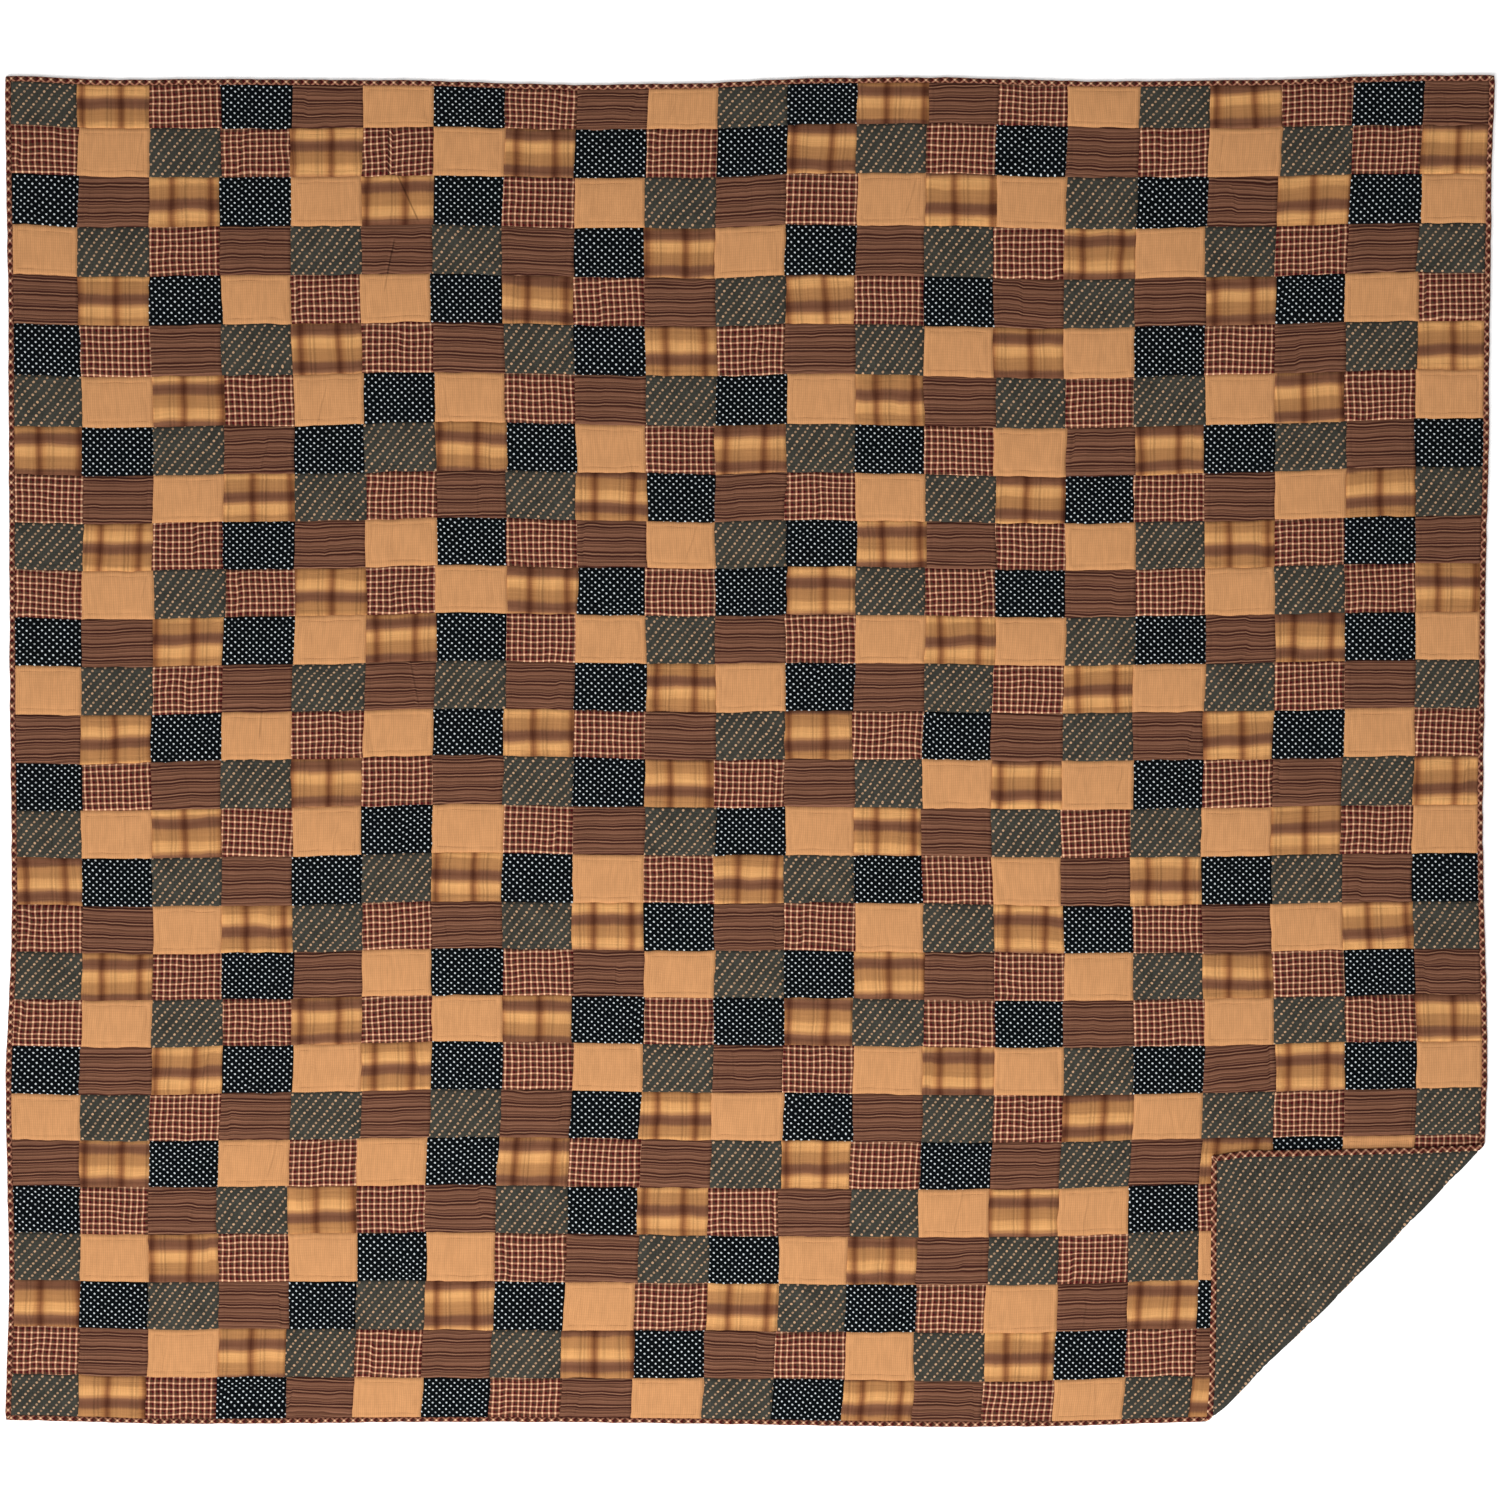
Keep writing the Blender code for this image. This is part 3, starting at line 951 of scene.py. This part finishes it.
def shaded(graph, cloth, u, v, lightest=1.10, darkest=0.88):
    """The cloth's colour, a little uneven in dye and in its threads."""
    blots = graph.cloud(graph.times(u, 22), graph.times(v, 22))
    upright = graph.cloud(graph.times(u, 700), graph.times(v, 35))
    level = graph.cloud(graph.times(u, 35), graph.times(v, 700))
    uneven = graph.add(graph.times(blots, 0.34), graph.times(graph.add(upright, level), 0.33))
    shade = graph.ease(uneven, 0.25, 0.75, darkest, lightest)
    return graph.dim(cloth, shade)


def quilting(graph):
    """1 on the running stitches of the quilting, which goes round inside each patch."""
    a, b = graph.uv("patch")
    from_side = graph.less(graph.size_of(a), PATCH_WIDTH / 2 - QUILT_INSET)
    from_end = graph.less(graph.size_of(b), PATCH_LENGTH / 2 - QUILT_INSET)
    away = graph.size_of(graph.maths("MAXIMUM", from_side, from_end))
    on_line = graph.ease(away, 0.0002, 0.0009, 1.0, 0.0)
    on_side = graph.maths("GREATER_THAN", from_side, from_end)
    run = graph.add(graph.times(on_side, b), graph.times(graph.less(1.0, on_side), a))
    dash = graph.size_of(graph.less(graph.part(graph.over(run, 0.0052)), 0.5))
    u, v = graph.uv("cloth")
    shown = graph.ease(graph.cloud(graph.times(u, 26), graph.times(v, 26)), 0.38, 0.62, 0.15, 1.0)
    shown = graph.times(shown, graph.less(1.0, graph.times(on_side, 0.6)))
    return graph.times(graph.times(on_line, shown), graph.ease(dash, 0.34, 0.44, 1.0, 0.15))


def stitched(graph, cloth, height, thread, strength):
    """Adds the quilting thread and the creases to a cloth's colour and relief; each crease gets a
    painted shadow on its right and a painted highlight on its left, and a groove in the relief.
    """
    mask = quilting(graph)
    coloured = graph.mix(graph.times(mask, strength), cloth, thread)
    height = graph.less(height, graph.times(mask, 1.5))
    side, creased = graph.uv("crease")
    dark, light = (
        graph.times(
            graph.ease(graph.size_of(graph.less(side, line.place)), line.solid, line.reach, 1.0, 0.0),
            creased,
        )
        for line in (CREASE_SHADOW, CREASE_HIGHLIGHT)
    )
    # Painted shade: the colour is darkened on the crease's shadow line and lightened on its highlight
    # line.
    shade = graph.less(1.0, graph.times(dark, CREASE_SHADOW.share))
    shade = graph.add(shade, graph.times(light, CREASE_HIGHLIGHT.share))
    return graph.dim(coloured, shade), graph.less(height, graph.times(dark, 3.0))


# ---------------------------------------------------------------- fabrics


CHECK_PITCH = 0.01140
NAVY_ROW = 0.00610
NAVY_PITCH = 0.01320
NAVY_DOT_WIDTH = 0.00186
NAVY_DOT_HEIGHT = 0.00166
PLAID_WIDTH = 0.0690
PLAID_LENGTH = 0.0640
STRIPE_PITCH = 0.0250
TAN_LINES_ACROSS = 0.00385
TAN_LINES_ALONG = 0.0046


def navy_dots():
    graph = Graph("navy_dots")
    u, v = graph.uv("cloth")
    row = graph.over(v, NAVY_ROW)
    row_number = graph.maths("FLOOR", row)
    offset = graph.times(graph.maths("MODULO", row_number, 2.0), 0.5)
    place = graph.add(graph.over(u, NAVY_PITCH), offset)
    place_number = graph.maths("FLOOR", place)
    swing = graph.times(graph.less(graph.chance(place_number, row_number, 3.0), 0.5), 0.0006)
    away_x = graph.add(graph.times(graph.less(graph.part(place), 0.5), NAVY_PITCH), swing)
    away_y = graph.add(graph.times(graph.less(graph.part(row), 0.5), NAVY_ROW), swing)
    slant = graph.add(away_y, graph.times(away_x, 0.14))
    across = graph.over(away_x, NAVY_DOT_WIDTH)
    upright = graph.over(slant, NAVY_DOT_HEIGHT)
    squared = graph.add(graph.times(across, across), graph.times(upright, upright))
    luck = graph.chance(place_number, row_number)
    strength = graph.ease(luck, 0.0, 0.40, 0.50, 1.0)
    dot = graph.times(graph.ease(graph.maths("SQRT", squared), 0.65, 1.15, 1.0, 0.0), strength)
    ground = shaded(graph, colour(5, 8, 11), u, v, 1.6, 0.5)
    cloth = graph.mix(dot, ground, colour(204, 212, 214))
    cloth, height = stitched(graph, cloth, threads(graph, u, v), colour(34, 33, 36), 0.35)
    return graph.finish(cloth, height, 0.00012)


def check_cloth(graph, u, v):
    """The burgundy and brown check with tan lines, as a colour."""
    x = graph.part(graph.over(u, CHECK_PITCH))
    y = graph.part(graph.over(v, CHECK_PITCH))
    line_x = graph.ease(graph.size_of(graph.less(x, 0.5)), 0.05, 0.21, 1.0, 0.0)
    line_y = graph.ease(graph.size_of(graph.less(y, 0.5)), 0.05, 0.21, 1.0, 0.0)
    brown_x = graph.ease(graph.size_of(graph.less(x, 0.14)), 0.06, 0.24, 1.0, 0.0)
    brown_y = graph.ease(graph.size_of(graph.less(y, 0.14)), 0.06, 0.24, 1.0, 0.0)
    brown = graph.times(graph.add(brown_x, brown_y), 0.5)
    square = graph.mix(brown, colour(72, 11, 17), colour(76, 54, 38))
    one = graph.maths("MAXIMUM", line_x, line_y)
    both = graph.times(line_x, line_y)
    cloth = graph.mix(graph.times(one, 0.58), square, colour(204, 142, 112))
    return graph.mix(graph.times(both, 0.9), cloth, colour(248, 208, 166))


def burgundy_check():
    graph = Graph("burgundy_check")
    u, v = graph.uv("cloth")
    cloth = shaded(graph, check_cloth(graph, u, v), u, v)
    cloth, height = stitched(graph, cloth, threads(graph, u, v), colour(96, 60, 44), 0.25)
    return graph.finish(cloth, height, 0.00014)


def bias_binding():
    graph = Graph("bias_binding")
    u, v = graph.uv("cloth")
    cloth = shaded(graph, check_cloth(graph, u, v), u, v, 0.98, 0.76)
    return graph.finish(cloth, threads(graph, u, v), 0.00014)


def grey(value):
    return (value, value, value, 1.0)


def gold_plaid():
    graph = Graph("gold_plaid")
    u, v = graph.uv("cloth")
    across = graph.part(graph.over(u, PLAID_WIDTH))
    warp_streak = graph.cloud(graph.times(u, 520), graph.times(v, 5), 1.0)
    weft_streak = graph.cloud(graph.times(u, 5), graph.times(v, 520), 1.0)
    ragged = graph.times(graph.less(warp_streak, 0.5), 0.06)
    along = graph.part(graph.add(graph.over(v, PLAID_LENGTH), ragged))
    level = graph.ramp(
        along,
        (
            (0.00, colour(128, 86, 62)),
            (0.10, colour(112, 72, 52)),
            (0.20, colour(118, 78, 56)),
            (0.32, colour(168, 118, 74)),
            (0.56, colour(172, 122, 76)),
            (0.66, colour(206, 150, 94)),
            (0.84, colour(214, 158, 100)),
            (0.93, colour(176, 124, 80)),
            (1.00, colour(128, 86, 62)),
        ),
    )
    upright = graph.ramp(
        graph.add(across, graph.times(graph.less(weft_streak, 0.5), 0.04)),
        (
            (0.00, grey(1.00)),
            (0.06, (0.90, 0.87, 0.84, 1.0)),
            (0.13, (0.56, 0.47, 0.46, 1.0)),
            (0.18, (0.40, 0.30, 0.30, 1.0)),
            (0.23, (0.54, 0.44, 0.43, 1.0)),
            (0.31, (0.84, 0.78, 0.74, 1.0)),
            (0.40, grey(1.00)),
            (0.44, grey(0.80)),
            (0.48, grey(1.08)),
            (0.54, grey(0.74)),
            (0.59, grey(1.00)),
            (0.84, grey(1.04)),
            (0.93, grey(0.92)),
            (1.00, grey(1.00)),
        ),
    )
    cloth = graph.mix(1.0, level, upright, "MULTIPLY")
    shade = graph.ease(graph.add(warp_streak, weft_streak), 0.7, 1.3, 0.90, 1.10)
    cloth = graph.dim(cloth, shade)
    cloth = shaded(graph, cloth, u, v, 1.06, 0.92)
    cloth, height = stitched(graph, cloth, threads(graph, u, v), colour(104, 68, 44), 0.25)
    return graph.finish(cloth, height, 0.00014)


def brown_stripe():
    graph = Graph("brown_stripe")
    u, v = graph.uv("cloth")
    bowed = graph.add(v, graph.times(graph.cloud(graph.times(u, 38), graph.times(v, 9)), 0.0022))
    along = graph.part(graph.over(bowed, STRIPE_PITCH))
    bands = graph.ramp(
        along,
        (
            (0.00, colour(112, 74, 56)),
            (0.04, colour(72, 38, 30)),
            (0.10, colour(42, 16, 14)),
            (0.16, colour(120, 82, 62)),
            (0.19, colour(150, 108, 84)),
            (0.22, colour(122, 84, 64)),
            (0.28, colour(42, 15, 13)),
            (0.35, colour(72, 38, 30)),
            (0.40, colour(128, 88, 68)),
            (0.48, colour(62, 30, 24)),
            (0.54, colour(126, 86, 66)),
            (0.66, colour(106, 70, 52)),
            (0.72, colour(74, 42, 32)),
            (0.78, colour(128, 88, 68)),
            (1.00, colour(112, 74, 56)),
        ),
        "LINEAR",
    )
    fine = graph.size_of(graph.less(graph.part(graph.over(bowed, STRIPE_PITCH / 8)), 0.5))
    shade = graph.ease(fine, 0.10, 0.40, 1.12, 0.84)
    streaks = graph.ease(graph.cloud(graph.times(u, 8), graph.times(v, 480)), 0.3, 0.7, 0.86, 1.12)
    shade = graph.times(shade, streaks)
    cloth = graph.dim(bands, shade)
    cloth = shaded(graph, cloth, u, v)
    cloth, height = stitched(graph, cloth, threads(graph, u, v), colour(64, 38, 29), 0.35)
    return graph.finish(cloth, height, 0.00014)


# The charcoal's two kinds of dot, which take turns along slanting lines.
Dot = namedtuple("Dot", "half_step radius colour heart")
LARGE_DOT = Dot(0.0, 0.00208, (204, 164, 128), 0.80)
SMALL_DOT = Dot(0.5, 0.00200, (180, 144, 112), 0.55)
DOT_RISE = 0.0115
DOT_LEAN = 0.0096
LINE_PITCH = 0.0178


def dotted_lines(graph, u, v):
    """Charcoal with slanting lines of large tan dots and dim rings between, as a colour."""
    row = graph.over(v, DOT_RISE)
    line = graph.over(graph.less(u, graph.times(v, DOT_LEAN / DOT_RISE)), LINE_PITCH)
    line_number = graph.maths("FLOOR", line)
    line_part = graph.less(graph.part(line), 0.5)
    cloth = shaded(graph, colour(58, 57, 51), u, v, 1.50, 0.58)
    for dot in (LARGE_DOT, SMALL_DOT):
        shifted = graph.add(row, dot.half_step)
        row_number = graph.maths("FLOOR", shifted)
        row_part = graph.less(graph.part(shifted), 0.5)
        away_y = graph.times(row_part, DOT_RISE)
        away_x = graph.times(line_part, LINE_PITCH)
        away_x = graph.add(away_x, graph.times(row_part, DOT_LEAN))
        luck = graph.chance(line_number, row_number, dot.half_step)
        away_x = graph.add(away_x, graph.times(graph.less(luck, 0.5), 0.0007))
        across = graph.over(away_x, dot.radius * 1.08)
        upright = graph.over(away_y, dot.radius)
        squared = graph.add(graph.times(across, across), graph.times(upright, upright))
        away = graph.maths("SQRT", squared)
        disc = graph.ease(away, 0.70, 1.20, 1.0, 0.0)
        disc = graph.times(disc, graph.ease(away, 0.15, 0.60, dot.heart, 1.0))
        strength = graph.chance(row_number, line_number, dot.half_step)
        strength = graph.ease(strength, 0.0, 0.6, 0.60, 0.94)
        cloth = graph.mix(graph.times(disc, strength), cloth, colour(*dot.colour))
    return cloth


def charcoal_lines():
    graph = Graph("charcoal_lines")
    u, v = graph.uv("cloth")
    cloth = dotted_lines(graph, u, v)
    cloth, height = stitched(graph, cloth, threads(graph, u, v), colour(40, 38, 35), 0.35)
    return graph.finish(cloth, height, 0.00014)


def tan_plain():
    graph = Graph("tan_plain")
    u, v = graph.uv("cloth")
    fine = graph.size_of(graph.less(graph.part(graph.over(u, TAN_LINES_ACROSS)), 0.5))
    level = graph.size_of(graph.less(graph.part(graph.over(v, TAN_LINES_ALONG)), 0.5))
    upright_shade = graph.ease(fine, 0.1, 0.4, 1.05, 0.94)
    shade = graph.times(upright_shade, graph.ease(level, 0.1, 0.4, 1.02, 0.98))
    cloth = graph.dim(colour(200, 144, 96), shade)
    # Painted shade of soft wrinkles: streaky bands a little darker and lighter in the colour.
    painted_wrinkle_shade = graph.cloud(graph.times(u, 160), graph.times(v, 26))
    shade = graph.ease(painted_wrinkle_shade, 0.34, 0.66, 0.95, 1.04)
    cloth = graph.dim(cloth, shade)
    cloth = shaded(graph, cloth, u, v, 1.06, 0.93)
    cloth, height = stitched(graph, cloth, threads(graph, u, v), colour(128, 80, 50), 0.5)
    return graph.finish(cloth, height, 0.00014)


# ---------------------------------------------------------------- stage


def add_stage():
    """A pale floor out to the horizon, a soft sky, and one broad light from the near side."""
    floor_mesh = bpy.data.meshes.new("floor")
    reach = 60.0
    corners = [(-reach, -reach, 0), (reach, -reach, 0), (reach, reach, 0), (-reach, reach, 0)]
    floor_mesh.from_pydata(corners, [], [(0, 1, 2, 3)])
    paint = bpy.data.materials.new("floor_paint")
    paint.use_nodes = True
    settings = {
        "Base Color": grey(0.98),
        "Roughness": 0.95,
        "Specular IOR Level": 0.0,
        "Emission Color": grey(1.0),
        "Emission Strength": 0.30,
    }
    for name, setting in settings.items():
        paint.node_tree.nodes["Principled BSDF"].inputs[name].default_value = setting
    floor_mesh.materials.append(paint)
    floor = bpy.data.objects.new("floor", floor_mesh)
    floor.location.z = -0.0004
    bpy.context.scene.collection.objects.link(floor)

    add_sky()
    softbox = bpy.data.lights.new("softbox", "AREA")
    softbox.energy = 112
    softbox.shape = "SQUARE"
    softbox.size = 1.4
    place_light(softbox, (-0.6, -2.0, 3.8), (0.0, -0.1, 0.0))
    window = bpy.data.lights.new("window", "SUN")
    window.energy = 1.8
    window.angle = math.radians(12)
    place_light(window, (-1.25, -1.35, 1.0), (0.0, 0.0, 0.0))


def place_light(light, place, target):
    """Puts a light in the scene, turned to face the target."""
    lamp = bpy.data.objects.new(light.name, light)
    lamp.location = place
    lamp.rotation_euler = (Vector(place) - Vector(target)).to_track_quat("Z", "Y").to_euler()
    bpy.context.scene.collection.objects.link(lamp)


def add_sky():
    """Pale all round the horizon and dimmer overhead, so that relief on the cloth shows."""
    world = bpy.data.worlds.new("pale_sky")
    world.use_nodes = True
    nodes, links = world.node_tree.nodes, world.node_tree.links
    direction = nodes.new("ShaderNodeTexCoord")
    split = nodes.new("ShaderNodeSeparateXYZ")
    fade = nodes.new("ShaderNodeMapRange")
    fade.interpolation_type = "SMOOTHSTEP"
    for name, value in (("From Min", 0.0), ("From Max", 0.45), ("To Min", 0.95), ("To Max", 0.30)):
        fade.inputs[name].default_value = value
    links.new(direction.outputs["Generated"], split.inputs[0])
    links.new(split.outputs[2], fade.inputs["Value"])
    links.new(fade.outputs["Result"], nodes["Background"].inputs["Strength"])
    nodes["Background"].inputs["Color"].default_value = grey(1.0)
    bpy.context.scene.world = world


def add_camera():
    """Straight above, as far off as makes the picture 2.7 m of floor across."""
    camera = bpy.data.cameras.new("camera")
    camera.lens = 100
    camera.sensor_width = 36
    height = 2.7 * camera.lens / camera.sensor_width
    camera.clip_end = 200
    eye = bpy.data.objects.new("camera", camera)
    eye.location = (0.0002, 0.0018, height)
    bpy.context.scene.collection.objects.link(eye)
    bpy.context.scene.camera = eye


def main():
    bpy.context.scene.view_settings.view_transform = "Standard"
    add_camera()
    add_stage()
    makers = {
        "G": charcoal_lines,
        "P": gold_plaid,
        "C": burgundy_check,
        "N": navy_dots,
        "B": brown_stripe,
        "T": tan_plain,
    }
    fabrics = [makers[letter]() for letter in FABRICS]
    add_backing(fabrics[FABRICS.index("G")])
    for column in range(COLUMNS):
        add_column(column, fabrics)
    right, top = WIDTH / 2, LENGTH / 2
    bias = bias_binding()
    add_binding("binding_near", (-right, -top), (right, -top), (right, top), bias, 81)
    add_binding("binding_far", (right, top), (-right, top), (-right, -top), bias, 91)


main()
